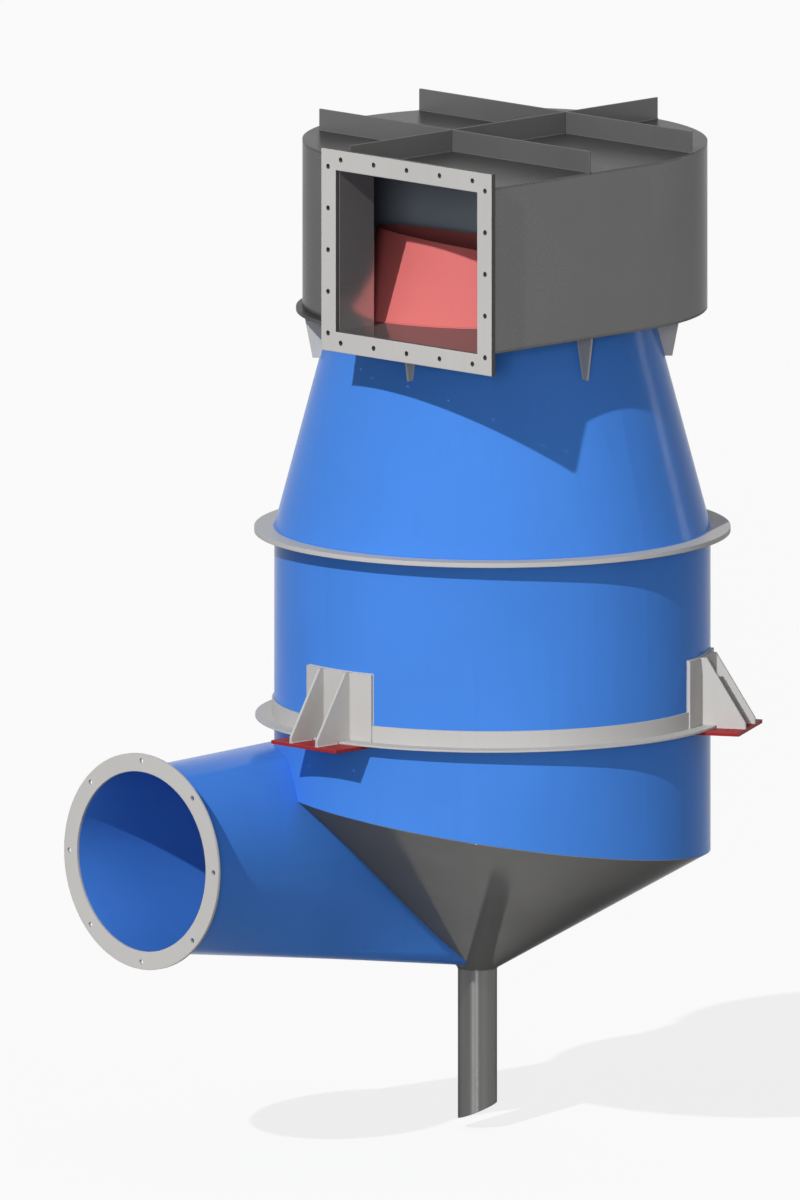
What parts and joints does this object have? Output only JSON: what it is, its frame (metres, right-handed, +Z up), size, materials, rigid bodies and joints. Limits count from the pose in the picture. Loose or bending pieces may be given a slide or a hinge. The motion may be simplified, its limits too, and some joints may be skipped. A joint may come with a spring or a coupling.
{
  "type": "cyclone separator",
  "caption": "Upflow sheet-steel cyclone with a tangential round inlet, a slanted hopper with a drain, a tapering top and a scroll outlet with a bolted rectangular flange, hung on feet.",
  "frame": {"origin": "on the underside of the front foot, midway between its two anchor holes", "axes": "+Z up along the vessel's axis, -Y the way both the inlet and the outlet flange face, +X to the right seen from that side"},
  "size_m": [1.398, 1.67, 2.8451],
  "materials": {
    "blue_paint": "satin",
    "red_paint": "satin",
    "grey_paint": "satin",
    "dark_steel": "matte",
    "bare_steel": "satin"
  },
  "bodies": {
    "root": {"back_rib": "dark_steel", "cone_flange": "dark_steel", "cone_gusset_1": "grey_paint", "cone_gusset_2": "grey_paint", "cone_gusset_3": "grey_paint", "cone_gusset_4": "grey_paint", "cone_gusset_5": "grey_paint", "cone_gusset_6": "grey_paint", "cross_rib_back": "dark_steel", "cross_rib_front": "dark_steel", "cross_rib_middle": "dark_steel", "drain_pipe": "bare_steel", "front_foot": "red_paint", "front_foot_gusset_a": "grey_paint", "front_foot_gusset_b": "grey_paint", "front_pad": "grey_paint", "front_rib": "dark_steel", "gas_cone": "red_paint", "hopper": "dark_steel", "inlet_duct": "blue_paint", "inlet_flange": "grey_paint", "joint_ring": "grey_paint", "left_foot": "red_paint", "left_foot_gusset_a": "grey_paint", "left_foot_gusset_b": "grey_paint", "left_pad": "grey_paint", "outlet_flange": "grey_paint", "right_foot": "red_paint", "right_foot_gusset_a": "grey_paint", "right_foot_gusset_b": "grey_paint", "right_pad": "grey_paint", "shell": "blue_paint", "support_ring": "grey_paint", "top_cone": "blue_paint", "volute_floor": "dark_steel", "volute_roof": "dark_steel", "volute_wall": "dark_steel"}
  },
  "joints": []
}
